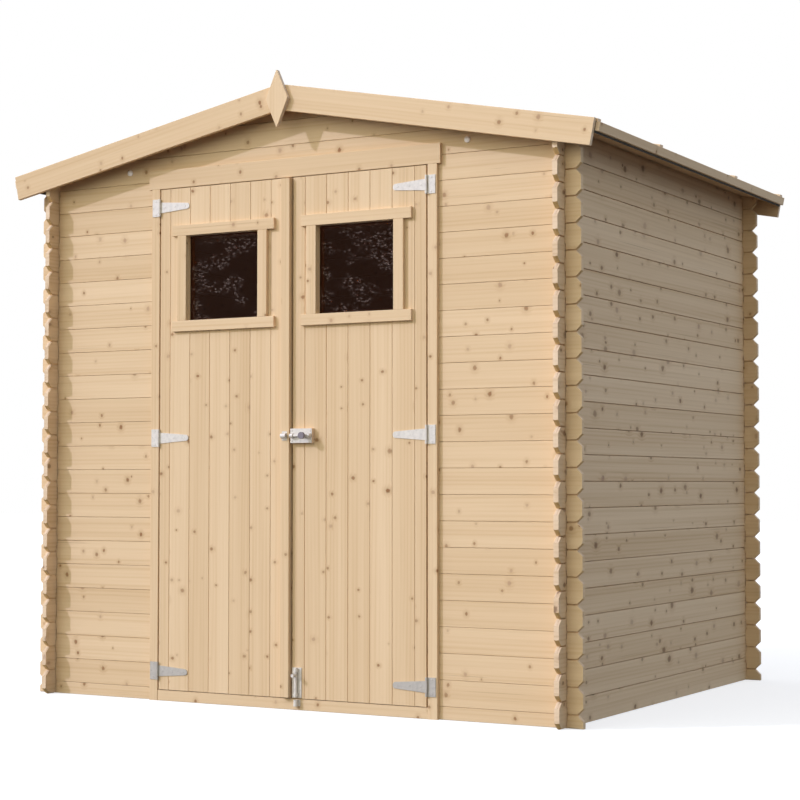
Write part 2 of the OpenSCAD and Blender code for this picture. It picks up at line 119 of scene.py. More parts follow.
grainMap = {  # v is a board's number plus a fraction, and the bands of that fraction tell faces apart
    "first": 0.02, "across": 0.5, "revealPaintedLight": 0.80, "shift": 40,
    # of the bands, the end faces' is end grain, the upper chamfers' painted shade, the lower chamfers' painted
    # golden bounce light in shade, and the window sides' painted warm bounce light
    "bands": (("endFace", 0.45), ("topCutShade", 0.588), ("lowCut", 0.66), ("revealPaintedLight", 0.79)),
}
spruceLook = {
    "pale": (0.766, 0.560, 0.352, 1), "grain": (0.626, 0.418, 0.227, 1), "resin": (0.36, 0.215, 0.115, 1),
    "halo": (0.50, 0.30, 0.150, 1), "knot": (0.270, 0.120, 0.045, 1), "mauve": (0.42, 0.235, 0.150, 1),
    # face tints: end faces get an end-grain tone, upper chamfers painted shade with some end-grain tone, lower
    # chamfers painted golden bounce light in shade, sides facing a window painted warm bounce light
    "endFace": (1.03, 1.07, 1.20, 1), "topCutShade": (0.89, 0.92, 1.05, 1), "lowCut": (1.0, 0.92, 0.70, 1),
    "revealPaintedLight": (1.24, 1.16, 1.03, 1), "toneLow": 0.955, "toneHigh": 1.035, "rough": 0.62, "shine": 0.2,
}
sideLook = dict(spruceLook, pale=(0.785, 0.577, 0.366, 1), grain=(0.565, 0.365, 0.190, 1),
                knot=(0.200, 0.105, 0.050, 1), mauve=(0.33, 0.175, 0.125, 1))
# the roof boards' spruce is a darker, browner copy: painted shade for their underside under the eaves
roofShadedLook = dict(spruceLook, pale=(0.675, 0.455, 0.255, 1), grain=(0.550, 0.340, 0.165, 1))
figure = {
    # each noise: scale along and across the board, detail, and roughness where it isn't the usual one
    "ragged": (150, 110, 2), "sway": (0.45, 5.0, 2.0), "streak": (0.55, 34.0, 3.0),
    "fine": (5.0, 520.0, 3.0, 0.65), "drift": (0.8, 3.0, 2.0), "resin": (2.2, 260.0, 0.0),
    "patch": (2.0, 12.0, 1.0), "layer": 3.7,
    # where each begins and is full
    "streakEdge": (0.36, 0.70), "fineEdge": (0.35, 0.75), "resinEdge": (0.74, 0.86), "patchEdge": (0.55, 0.65),
    # rings: radians per metre across the board, sway, bend round a knot, sharpness
    "rings": 430.0, "ringSway": 20.0, "ringBend": 6.0, "ringSharp": 2.0,
    # how strongly each shows
    "ringShow": 0.06, "ringStreak": 0.24, "fineShow": 0.18, "streakShow": 0.28,
    "resinShow": 0.5, "haloShow": 0.45, "driftLow": 0.95, "driftSpan": 0.10, "toneGreen": 1.25, "toneBlue": 1.7,
    "roughMore": 0.12, "knotRise": 0.3, "bump": 0.2, "bumpDepth": 0.0005,
}
knotShape = {  # core and halo fade with distance over radius, mauve with the knot's chance
    "stretch": 1.15, "ragged": 0.9, "leastDepth": 0.4,
    "coreFade": (1.30, 0.50), "haloFade": (3.6, 0.8), "mauveFade": (0.45, 0.30),
}
frontKnots = [  # cells per metre, share with a knot, least and greatest radius in metres, depth of colour
    {"cells": 6.0, "share": 0.46, "small": 0.0060, "large": 0.0115, "depth": 0.92},
    {"cells": 9.7, "share": 0.40, "small": 0.0036, "large": 0.0068, "depth": 0.85},
]
sideKnots = [  # the side boards are knottier and more streaked
    {"cells": 6.4, "share": 0.80, "small": 0.0070, "large": 0.0125, "depth": 0.90},
    {"cells": 10.3, "share": 0.75, "small": 0.0042, "large": 0.0080, "depth": 0.80},
]


def spruceMaterial(name, look, knots):
    # grain map: u runs along the board in metres, v round it, and the whole part of v numbers the board
    # colour: pale turns to grain with rings, streaks and fine lines, times the board's own tone,
    # then come resin, halos and knots, and last the tint of the face's band: an end-grain tone on end faces,
    # painted shade on upper chamfers, painted golden bounce light on lower chamfers, and painted warm
    # bounce light on sides facing a window
    mat, tree, shader = newMaterial(name)
    uv = addNode(tree, "ShaderNodeUVMap", uv_map="grain").outputs[0]
    split = addNode(tree, "ShaderNodeSeparateXYZ", {0: uv})
    u, v = split.outputs[0], split.outputs[1]
    number = calc(tree, "FLOOR", v)
    chance = addNode(tree, "ShaderNodeTexWhiteNoise", {"W": number}, noise_dimensions="1D")
    layer = calc(tree, "MULTIPLY", number, figure["layer"])

    def stretched(uScale, vScale, detail, rough=0.55):
        vec = addNode(tree, "ShaderNodeCombineXYZ", {
            0: calc(tree, "MULTIPLY", u, uScale), 1: calc(tree, "MULTIPLY", v, vScale), 2: layer})
        tex = addNode(tree, "ShaderNodeTexNoise",
                      {"Vector": vec.outputs[0], "Scale": 1.0, "Detail": detail, "Roughness": rough})
        return tex.outputs[0]

    def stretchedRamp(key):
        return ramp(tree, stretched(*figure[key]), *figure[key + "Edge"])

    ragged = calc(tree, "SUBTRACT", stretched(*figure["ragged"]), 0.5)
    core, halo, dots = 0.0, 0.0, []
    for k in knots:  # a knot sits at the middle of a picked cell; halo and core fade with distance over radius
        cells, least = k["cells"], knotShape["leastDepth"]
        vec = addNode(tree, "ShaderNodeCombineXYZ", {
            0: calc(tree, "MULTIPLY", u, knotShape["stretch"] * cells), 1: calc(tree, "MULTIPLY", v, cells)})
        cell = addNode(tree, "ShaderNodeTexVoronoi", {"Vector": vec.outputs[0], "Scale": 1.0},
                       voronoi_dimensions="2D", feature="F1")
        pick = addNode(tree, "ShaderNodeSeparateColor", {0: cell.outputs["Color"]})
        there = calc(tree, "LESS_THAN", pick.outputs[0], k["share"])
        span = k["large"] - k["small"]
        radius = calc(tree, "MULTIPLY_ADD", pick.outputs[1], cells * span, cells * k["small"])
        near = calc(tree, "ADD", calc(tree, "DIVIDE", cell.outputs["Distance"], radius),
                    calc(tree, "MULTIPLY", ragged, knotShape["ragged"]))
        depth = calc(tree, "MULTIPLY_ADD", pick.outputs[2], (1 - least) * k["depth"], least * k["depth"])
        depth = calc(tree, "MULTIPLY", there, depth)
        dot = calc(tree, "MULTIPLY", ramp(tree, near, *knotShape["coreFade"]), depth)
        mauve = ramp(tree, pick.outputs[2], *knotShape["mauveFade"])
        dots.append((dot, blendColor(tree, mauve, look["knot"], look["mauve"])))
        core = calc(tree, "MAXIMUM", core, dot)
        faded = calc(tree, "MULTIPLY", ramp(tree, near, *knotShape["haloFade"]), depth)
        halo = calc(tree, "MAXIMUM", halo, faded)

    sway = calc(tree, "MULTIPLY", stretched(*figure["sway"]), figure["ringSway"])
    phase = calc(tree, "MULTIPLY_ADD", v, figure["rings"], sway)
    phase = calc(tree, "MULTIPLY_ADD", halo, figure["ringBend"], phase)
    rings = calc(tree, "MULTIPLY_ADD", calc(tree, "SINE", phase), 0.5, 0.5)
    rings = calc(tree, "POWER", rings, figure["ringSharp"])
    streak, fine = stretchedRamp("streak"), stretchedRamp("fine")
    ringAmount = calc(tree, "MULTIPLY_ADD", streak, figure["ringStreak"], figure["ringShow"])
    amount = calc(tree, "MULTIPLY", rings, ringAmount)
    amount = calc(tree, "MULTIPLY_ADD", fine, figure["fineShow"], amount)
    amount = calc(tree, "MULTIPLY_ADD", streak, figure["streakShow"], amount)
    color = blendColor(tree, amount, look["pale"], look["grain"])

    drift = calc(tree, "MULTIPLY_ADD", stretched(*figure["drift"]), figure["driftSpan"], figure["driftLow"])
    toneSpan = look["toneHigh"] - look["toneLow"]
    tone = calc(tree, "MULTIPLY_ADD", chance.outputs["Value"], toneSpan, look["toneLow"])
    tone = calc(tree, "MULTIPLY", tone, drift)
    toneColor = addNode(tree, "ShaderNodeCombineColor", {
        0: tone, 1: calc(tree, "POWER", tone, figure["toneGreen"]),
        2: calc(tree, "POWER", tone, figure["toneBlue"])})
    color = blendColor(tree, 1.0, color, toneColor.outputs[0], "MULTIPLY")
    resin = calc(tree, "MULTIPLY", stretchedRamp("resin"), stretchedRamp("patch"))
    color = blendColor(tree, calc(tree, "MULTIPLY", resin, figure["resinShow"]), color, look["resin"])
    color = blendColor(tree, calc(tree, "MULTIPLY", halo, figure["haloShow"]), color, look["halo"])
    for dot, dotColor in dots:
        color = blendColor(tree, dot, color, dotColor)
    # the band tints: an end-grain tone, and painted shade and painted bounce light on chamfers and window sides
    part = calc(tree, "FRACT", v)
    tint = (1, 1, 1, 1)
    for key, start in grainMap["bands"]:
        tint = blendColor(tree, calc(tree, "GREATER_THAN", part, start), tint, look[key])
    color = blendColor(tree, 1.0, color, tint, "MULTIPLY")

    tree.links.new(color, shader.inputs["Base Color"])
    rough = calc(tree, "MULTIPLY_ADD", amount, figure["roughMore"], look["rough"])
    tree.links.new(rough, shader.inputs["Roughness"])
    shader.inputs["Specular IOR Level"].default_value = look["shine"]
    height = calc(tree, "SUBTRACT", calc(tree, "MULTIPLY", core, figure["knotRise"]), amount)
    bump = addNode(tree, "ShaderNodeBump", {
        "Strength": figure["bump"], "Distance": figure["bumpDepth"], "Height": height})
    tree.links.new(bump.outputs[0], shader.inputs["Normal"])
    return mat


zincLook = {
    "color": (0.72, 0.665, 0.600, 1), "dull": (0.55, 0.512, 0.468, 1), "dullShow": 0.7, "rough": (0.4, 0.2),
    "metal": 0.25, "cloud": (70.0, 4.0), "cloudEdge": (0.35, 0.8), "spangle": 260.0, "spangleShow": 0.35,
    "knob": (0.20, 0.17, 0.19, 1), "knobFrom": -0.9180, "knobEdge": 0.0006,
    "lowTone": 0.68, "lowRise": (0.15, 0.60),
}
# the gable bolts' zinc is a paler copy: painted light against the barge's shadow that falls on them
boltLitLook = dict(zincLook, color=(0.95, 0.86, 0.80, 1), dull=(0.80, 0.72, 0.66, 1))


def zincMaterial(name, look, knob=False, low=False):
    # plated sheet: cloudy spangle of two greys, with rougher dull patches
    mat, tree, shader = newMaterial(name)
    place = addNode(tree, "ShaderNodeTexCoord").outputs["Object"]
    cloud = noise(tree, place, *look["cloud"])
    spangle = addNode(tree, "ShaderNodeTexVoronoi", {"Vector": place, "Scale": look["spangle"]})
    amount = calc(tree, "MULTIPLY_ADD", spangle.outputs["Distance"], look["spangleShow"],
                  ramp(tree, cloud, *look["cloudEdge"]))
    amount = calc(tree, "MULTIPLY", amount, look["dullShow"], clamp=True)
    color = blendColor(tree, amount, look["color"], look["dull"])
    if knob:  # what stands out past this depth is dark
        depth = addNode(tree, "ShaderNodeSeparateXYZ", {0: place}).outputs[1]
        edge = ramp(tree, depth, look["knobFrom"] + look["knobEdge"], look["knobFrom"] - look["knobEdge"])
        color = blendColor(tree, edge, color, look["knob"])
    if low:  # darker towards the ground
        rise = ramp(tree, addNode(tree, "ShaderNodeSeparateXYZ", {0: place}).outputs[2], *look["lowRise"])
        tone = calc(tree, "MULTIPLY_ADD", rise, 1.0 - look["lowTone"], look["lowTone"])
        color = blendColor(tree, 1.0, color, tone, "MULTIPLY")
    tree.links.new(color, shader.inputs["Base Color"])
    shader.inputs["Metallic"].default_value = look["metal"]
    least, spread = look["rough"]
    tree.links.new(calc(tree, "MULTIPLY_ADD", cloud, spread, least), shader.inputs["Roughness"])
    return mat


# the glow and the flecks' colour are painted reflection
paneLook = {
    "tint": (0.20, 0.12, 0.085, 1), "glow": (0.0085, 0.0030, 0.0014, 1), "index": 1.12, "shine": 0.05,
    "fleckReflection": (0.55, 0.43, 0.40, 1), "fleckReflectionMost": 0.17, "stretch": (0.7, 1.0, 1.2), "rise": (1.54, 1.67),
    "riseShow": 0.09, "patch": (13.0, 2.0), "patchEdge": (0.47, 0.62), "blur": (190.0, 2.0),
    "fleck": 95.0, "fleckEdge": (1.05, 0.55),
}


def paneMaterial(name, look):
    # tinted glass with a faint brown glow and clusters of pale flecks, most of them high up; the glow and the
    # flecks are painted reflection
    mat, tree, shader = newMaterial(name)
    shader.inputs["Base Color"].default_value = look["tint"]
    shader.inputs["Transmission Weight"].default_value = 1.0
    shader.inputs["IOR"].default_value = look["index"]
    shader.inputs["Roughness"].default_value = 0.0
    shader.inputs["Specular IOR Level"].default_value = look["shine"]
    # emission: a faint brown glow of painted reflection
    shader.inputs["Emission Color"].default_value = look["glow"]
    shader.inputs["Emission Strength"].default_value = 1.0
    place = addNode(tree, "ShaderNodeTexCoord").outputs["Object"]
    flat = addNode(tree, "ShaderNodeVectorMath", {0: place, 1: look["stretch"]}, operation="MULTIPLY").outputs[0]
    rise = ramp(tree, addNode(tree, "ShaderNodeSeparateXYZ", {0: place}).outputs[2], *look["rise"])
    patch = calc(tree, "MULTIPLY_ADD", rise, look["riseShow"], noise(tree, flat, *look["patch"]))
    fleck = addNode(tree, "ShaderNodeTexVoronoi", {"Vector": flat, "Scale": look["fleck"]}).outputs["Distance"]
    fleck = calc(tree, "ADD", fleck, noise(tree, flat, *look["blur"]))
    # the flecks: a diffuse sheet of painted reflection, in clusters, most of it high up
    amount = calc(tree, "MULTIPLY", ramp(tree, patch, *look["patchEdge"]), ramp(tree, fleck, *look["fleckEdge"]))
    amount = calc(tree, "MULTIPLY", amount, look["fleckReflectionMost"])
    fleckReflection = addNode(tree, "ShaderNodeBsdfDiffuse", {"Color": look["fleckReflection"]})
    mix = addNode(tree, "ShaderNodeMixShader", {0: amount, 1: shader.outputs[0], 2: fleckReflection.outputs[0]})
    tree.links.new(mix.outputs[0], tree.nodes["Material Output"].inputs[0])
    return mat


feltLook = {
    "color": (0.034, 0.029, 0.022, 1), "grit": (0.125, 0.114, 0.095, 1), "rough": 0.93,
    "gritSize": (420.0, 2.0), "gritEdge": (0.42, 0.68), "cloud": (4.0, 5.0), "cloudShow": (0.7, 0.35),
    "bump": 0.5, "bumpDepth": 0.0012,
}


def feltMaterial(name, look):
    # mineral felt: fine pale grit over black, clouded at hand width
    mat, tree, shader = newMaterial(name)
    place = addNode(tree, "ShaderNodeTexCoord").outputs["Object"]
    grit = noise(tree, place, *look["gritSize"])
    cloud = calc(tree, "MULTIPLY_ADD", noise(tree, place, *look["cloud"]), *look["cloudShow"])
    amount = calc(tree, "MULTIPLY", ramp(tree, grit, *look["gritEdge"]), cloud)
    tree.links.new(blendColor(tree, amount, look["color"], look["grit"]), shader.inputs["Base Color"])
    shader.inputs["Roughness"].default_value = look["rough"]
    bump = addNode(tree, "ShaderNodeBump", {
        "Strength": look["bump"], "Distance": look["bumpDepth"], "Height": grit})
    tree.links.new(bump.outputs[0], shader.inputs["Normal"])
    return mat


spruce = spruceMaterial("spruceBoards", spruceLook, frontKnots)
sideSpruce = spruceMaterial("spruceSide", sideLook, sideKnots)
roofShadedSpruce = spruceMaterial("spruceRoofShaded", roofShadedLook, frontKnots)
zinc = zincMaterial("zincPlate", zincLook)
boltLitZinc = zincMaterial("zincBoltLit", boltLitLook)
latchZinc = zincMaterial("zincLatch", zincLook, knob=True)
hingeZinc = zincMaterial("zincHinge", zincLook, low=True)
paneGlass = paneMaterial("paneGlass", paneLook)
felt = feltMaterial("mineralFelt", feltLook)
print("materials made")

# Boards


def boardSection(easing=0.0010, slot=0.0005, lap=0.004, backLap=0.004, touch=0.0001):
    # a shed board: eased face edges, a slot lap deep at each joint on both faces, full width between them
    # rows: far face or not, depth, upper edge or not, height, whether the edge draws back where a joint opens
    turn = slot + easing
    return np.array([
        (0, easing, 0, slot, 1), (0, 0, 0, turn, 1), (0, 0, 1, -turn, 1), (0, easing, 1, -slot, 1),
        (0, lap, 1, -slot, 1), (0, lap, 1, -touch, 0), (1, -backLap, 1, -touch, 0), (1, -backLap, 1, -slot, 1),
        (1, -easing, 1, -slot, 1), (1, 0, 1, -turn, 1), (1, 0, 0, turn, 1), (1, -easing, 0, slot, 1),
        (1, -backLap, 0, slot, 1), (1, -backLap, 0, touch, 0), (0, lap, 0, touch, 0), (0, lap, 0, slot, 1)])


def plankSection(r=0.0015):
    # a planed plank: a rectangle with each corner rounded through three points, k in from both sides
    k = 0.3 * r
    return np.array([
        (0, 0, 0, r, 0), (0, 0, 1, -r, 0), (0, k, 1, -k, 0), (0, r, 1, 0, 0), (1, -r, 1, 0, 0), (1, -k, 1, -k, 0),
        (1, 0, 1, -r, 0), (1, 0, 0, r, 0), (1, -k, 0, k, 0), (1, -r, 0, 0, 0), (0, r, 0, 0, 0), (0, k, 0, k, 0)])


boardCount = [0]  # boards made so far, which numbers them in the grain map
meshLimits = {  # metres, and a cosine for squareOn
    "merge": 1e-6, "cutStep": 0.003, "cutDepth": 0.0025, "squareOn": 0.9,
}


def board(origin, along, across, inward, thick, stations):
    # a board's origin and three directions, its thickness, and the stations along it
    return {"axes": (origin, along, across, inward), "thick": thick, "stations": stations}


def linkPiece(name, mesh, mat, body, merge=False):
    # corners that meet are merged, faces turned outwards, and the piece rides on its body
    tidy = bmesh.new()
    tidy.from_mesh(mesh)
    if merge:
        bmesh.ops.remove_doubles(tidy, verts=tidy.verts, dist=meshLimits["merge"])
        bmesh.ops.dissolve_degenerate(tidy, edges=tidy.edges, dist=meshLimits["merge"])
    bmesh.ops.recalc_face_normals(tidy, faces=tidy.faces)
    tidy.to_mesh(mesh)
    tidy.free()
    mesh.materials.append(mat)
    piece = bpy.data.objects.new(name, mesh)
    bpy.context.scene.collection.objects.link(piece)
    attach(piece, body)
    return piece


def tubeFaces(count, rows, points):
    # quads between neighbouring rows of each closed ring, and a cap on the first and last row
    index = np.arange(count * rows * points).reshape(count, rows, points)
    side = np.roll(index, -1, axis=2)
    quads = np.stack([index[:, :-1], side[:, :-1], side[:, 1:], index[:, 1:]], -1).reshape(-1, 4)
    caps = np.concatenate([index[:, 0, ::-1], index[:, -1]])
    return quads.tolist() + caps.tolist()


def makeBoards(name, boards, section, body, node, mat=spruce, long=1.0, ends=grainMap["across"], revealPaintedLight=None):
    # each board is its section carried along its length:
    # point = origin + (s + lean h) along + h across + d inward, h and d measured from the near or far edge
    # a station is s, lean, low edge, high edge and how far its joints open
    # long stretches the grain, ends shifts the end faces in the grain map, and the last argument is the x of a
    # window's middle, left of which the sides facing the window get painted warm bounce light
    nB, nP = len(boards), len(section)
    nS = max(len(b["stations"]) for b in boards)
    rows = [b["stations"] + [b["stations"][-1]] * (nS - len(b["stations"])) for b in boards]
    st = np.array([[tuple(p) + (0,) * (5 - len(p)) for p in row] for row in rows], float)
    axes = np.array([b["axes"] for b in boards], float)[:, :, None, None, :]
    thick = np.array([b["thick"] for b in boards], float)[:, None]
    far, upper = section[:, 0] > 0, section[:, 2] > 0
    d = np.where(far, thick, 0) + section[:, 1]
    h = np.where(upper, st[..., 3:4], st[..., 2:3]) + section[:, 3]
    h = h + st[..., 4:5] * section[:, 4] * np.where(upper, -1, 1)
    s = st[..., 0:1] + st[..., 1:2] * h
    co = axes[:, 0] + s[..., None] * axes[:, 1] + h[..., None] * axes[:, 2] + d[:, None, :, None] * axes[:, 3]

    # the grain map: u is s, v is the way round the section plus the board's number
    width = (st[..., 3] - st[..., 2]).max(axis=1)[:, None]
    flatH = np.where(upper, width, 0) + section[:, 3]
    step = np.hypot(np.roll(d, -1, axis=1) - d, np.roll(flatH, -1, axis=1) - flatH)
    girth = np.concatenate([np.zeros((nB, 1)), np.cumsum(step, axis=1)], axis=1)
    number = (boardCount[0] + np.arange(nB))[:, None, None]
    boardCount[0] += nB
    shift = rng.uniform(0, grainMap["shift"], nB)[:, None, None]
    u = s / long + shift
    base = girth[:, None, :] + number + grainMap["first"]
    lowest = st[..., 2].min(axis=1)[:, None, None]
    slide = (h - lowest - flatH[:, None, :]) * np.where(far, -1, 1)
    uSide, vNear = np.roll(u, -1, axis=2), base[..., :-1] + slide
    vFar = base[..., 1:] + np.roll(slide, -1, axis=2)

    # faces cut across the grain, and sides that face a window from its left, have bands of their own: the cut
    # faces' bands are an end-grain tone, painted shade and painted golden bounce light, and the window sides'
    # band is painted warm bounce light
    moved = np.abs(np.diff(h, axis=1)) > meshLimits["cutStep"]
    deep = np.abs(np.roll(d, -1, axis=1) - d)[:, None, :] > meshLimits["cutDepth"]
    cut = grainMap["across"] * (moved & np.roll(moved, -1, axis=2) & deep)
    if revealPaintedLight is not None:
        leftOf = st[..., 3].max(axis=1)[:, None, None] < revealPaintedLight
        paintedLightFaces = (axes[:, 2, ..., 0] > meshLimits["squareOn"]) & leftOf & upper & np.roll(upper, -1) & deep
        cut = np.where(cut > 0, cut, grainMap["revealPaintedLight"] * paintedLightFaces)
    quadUv = np.stack([
        np.stack([u[:, :-1], vNear[:, :-1] + cut], -1), np.stack([uSide[:, :-1], vFar[:, :-1] + cut], -1),
        np.stack([uSide[:, 1:], vFar[:, 1:] + cut], -1), np.stack([u[:, 1:], vNear[:, 1:] + cut], -1)], axis=3)
    capD = np.broadcast_to(d[:, None, :], h.shape)
    endUv = np.stack([capD + shift, h - st[..., 2:3] + number + ends], -1)
    capUv = np.concatenate([endUv[:, 0, ::-1], endUv[:, -1]])

    mesh = bpy.data.meshes.new(name)
    mesh.from_pydata(co.reshape(-1, 3).tolist(), [], tubeFaces(nB, nS, nP))
    layer = mesh.uv_layers.new(name="grain")
    layer.data.foreach_set("uv", np.concatenate([quadUv.reshape(-1), capUv.reshape(-1)]).astype(np.float32))
    piece = linkPiece(name, mesh, mat, body, merge=True)
    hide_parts(node)


xAxis, yAxis, zAxis = (1, 0, 0), (0, 1, 0), (0, 0, 1)
sides = (("left", -1), ("right", 1))


def minus(axis):  # the direction turned round
    return tuple(-a for a in axis)


def boxPlank(lo, hi, grain):
    # a straight plank filling a box, its grain along the named axis
    along, across, inward = {"x": (0, 2, 1), "z": (2, 0, 1)}[grain]
    unit = np.eye(3)
    span = (lo[across], hi[across])
    return board(np.asarray(lo) * unit[inward], unit[along], unit[across], unit[inward], hi[inward] - lo[inward],
                 [(lo[along], 0, *span), (hi[along], 0, *span)])


def solidBoxes(node):
    # boxes of a node's separate solids: corners that share a triangle take the lowest number among them
    mesh = nodes[node].data
    co = np.empty(len(mesh.vertices) * 3, np.float32)
    mesh.vertices.foreach_get("co", co)
    tri = np.empty(len(mesh.loops), np.int32)
    mesh.loops.foreach_get("vertex_index", tri)
    spots, same = np.unique(np.round(co.reshape(-1, 3), 5), axis=0, return_inverse=True)
    tri = same.reshape(-1)[tri].reshape(-1, 3)
    label = np.arange(len(spots))
    while True:
        low = label[tri].min(axis=1)
        new = label.copy()
        np.minimum.at(new, tri, low[:, None])
        if (new == label).all():
            break
        label = new
    return [(spots[label == n].min(axis=0), spots[label == n].max(axis=0)) for n in np.unique(label)]


def under(x):  # height of the roof's underside
    return apexZ - abs(x) * math.tan(pitch) - shed["hair"]


def wallEnd(x, low, high, lowCut, highCut, gap, quarter=True):
    # stations from the crossing notch to the chamfered tip, for an end at +x beyond the wall line
    cut, notch = shed["endCut"], boardH / 4
    line = x - shed["endPast"]
    lowIn = low + (notch if quarter else 0)
    tip = x + rng.uniform(-shed["endStray"], 0)
    near, far = line - wallT - shed["notchGap"], line + shed["notchGap"]
    return [
        (near, 0, low, high), (near, 0, lowIn, high - notch), (far, 0, lowIn, high - notch),
        (far, 0, low, high, gap), (x - cut, 0, low, high, gap), (tip, 0, low + lowCut, high - highCut)]


def mirrored(stations):  # the same stations at minus s, in reverse order
    return [(-s, *rest) for s, *rest in reversed(stations)]


def courseSpan(k):  # front and back walls start with half a board
    return max(0.0, (k - 0.5) * boardH), (k + 0.5) * boardH


def gableStations(low, high):
    # a gable board: its top follows the roof where that is lower
    reach = (apexZ - low) / math.tan(pitch)
    shoulder = max(0.0, (apexZ - high) / math.tan(pitch))
    if reach < endX:
        tip = reach - shed["gableTip"]
        half = [(shoulder, 0, low, min(high, under(shoulder))), (tip, 0, low, under(tip))]
        return mirrored(half) + half
    cut, notch, inner = shed["endCut"], boardH / 4, halfW - wallT
    top = [(shoulder, 0, low, high), (inner, 0, low, under(inner)), (inner, 0, low + notch, under(inner)),
           (halfW, 0, low + notch, under(halfW)), (halfW, 0, low, under(halfW)),
           (endX - cut, 0, low, under(endX - cut)), (endX, 0, low + cut, under(endX))]
    return mirrored(top) + top


walls = {"frontJoint": {"lap": 0.007, "backLap": 0.006}, "backJoint": {"lap": 0.006, "backLap": 0.009},
         "sideJoint": {"slot": 0.0012, "lap": 0.0075}, "sideGrain": 1.5}


def buildWalls():
    # each wall is a stack of boards: in a side wall, board k rises from k to k + 1 board heights,
    # and in front and back it lies half a board lower
    cut = shed["endCut"]
    front, back = boardSection(**walls["frontJoint"]), boardSection(**walls["backJoint"])
    spans = [courseSpan(k) for k in range(shed["courses"] + 1)]
    gableSpans = [(gableZ + k * boardH, gableZ + (k + 1) * boardH) for k in range(shed["gableCourses"])]

    def crossEnd(k, low, high):
        return wallEnd(endX, low, high, cut if k else 0, cut, shed["frontGap"], k > 0)

    for side, sign in sides:
        boards = []
        for k, (low, high) in enumerate(spans):
            ends = [(shed["doorEdge"], 0, low, high)] + crossEnd(k, low, high)
            boards.append(board((0, -halfD, 0), (sign, 0, 0), zAxis, yAxis, wallT, ends))
        name = "front_wall_" + side
        makeBoards(name + "_boards", boards, front, "shed", name, ends=0.0)
    gable = [board((0, -halfD, 0), xAxis, zAxis, yAxis, wallT, gableStations(*span)) for span in gableSpans]
    makeBoards("front_gable_boards", gable, front, "shed", "front_gable")

    stacks = []
    for k, (low, high) in enumerate(spans):
        ends = crossEnd(k, low, high)
        stacks.append(mirrored(ends) + ends)
    stacks += [gableStations(*span) for span in gableSpans]
    boards = [board((0, halfD, 0), xAxis, zAxis, minus(yAxis), wallT, stations) for stations in stacks]
    makeBoards("back_wall_boards", boards, back, "shed", "back_wall", ends=0.0)

    for side, sign in sides:
        boards = []
        for k in range(shed["courses"] + 1):
            last = k == shed["courses"]
            ends = wallEnd(endY, k * boardH, (k + 1) * boardH, cut, 0 if last else cut, shed["sideGap"])
            boards.append(board((sign * halfW, 0, 0), yAxis, zAxis, (-sign, 0, 0), wallT, mirrored(ends) + ends))
        y, lip = halfD - wallT, wallT / 3
        lipTop = sideTop + shed["tongue"] + lip * math.tan(pitch) - shed["hair"]
        boards.append(board((sign * (halfW - lip), 0, 0), yAxis, zAxis, (-sign, 0, 0), lip,
                            [(-y, 0, sideTop, lipTop), (y, 0, sideTop, lipTop)]))
        name = side + "_wall"
        makeBoards(name + "_boards", boards, boardSection(**walls["sideJoint"]), "shed", name,
                   mat=sideSpruce, long=walls["sideGrain"])


buildWalls()
print("walls boarded")

roof = {
    "boards": 0.018, "felt": 0.002, "batten": 0.010, "overhang": 0.132, "ridgeGap": 0.0015,
    "eavesT": 0.014, "eavesH": 0.030, "bargeW": 0.090, "bargeT": 0.016, "boardCount": 21,
    "finialW": 0.092, "finialH": 0.200, "finialDrop": 0.008, "finialTip": 0.002,
    "battenW": 0.028, "battenPast": 0.005, "battenY": (-0.914, -0.380, 0.380, 0.914),
}


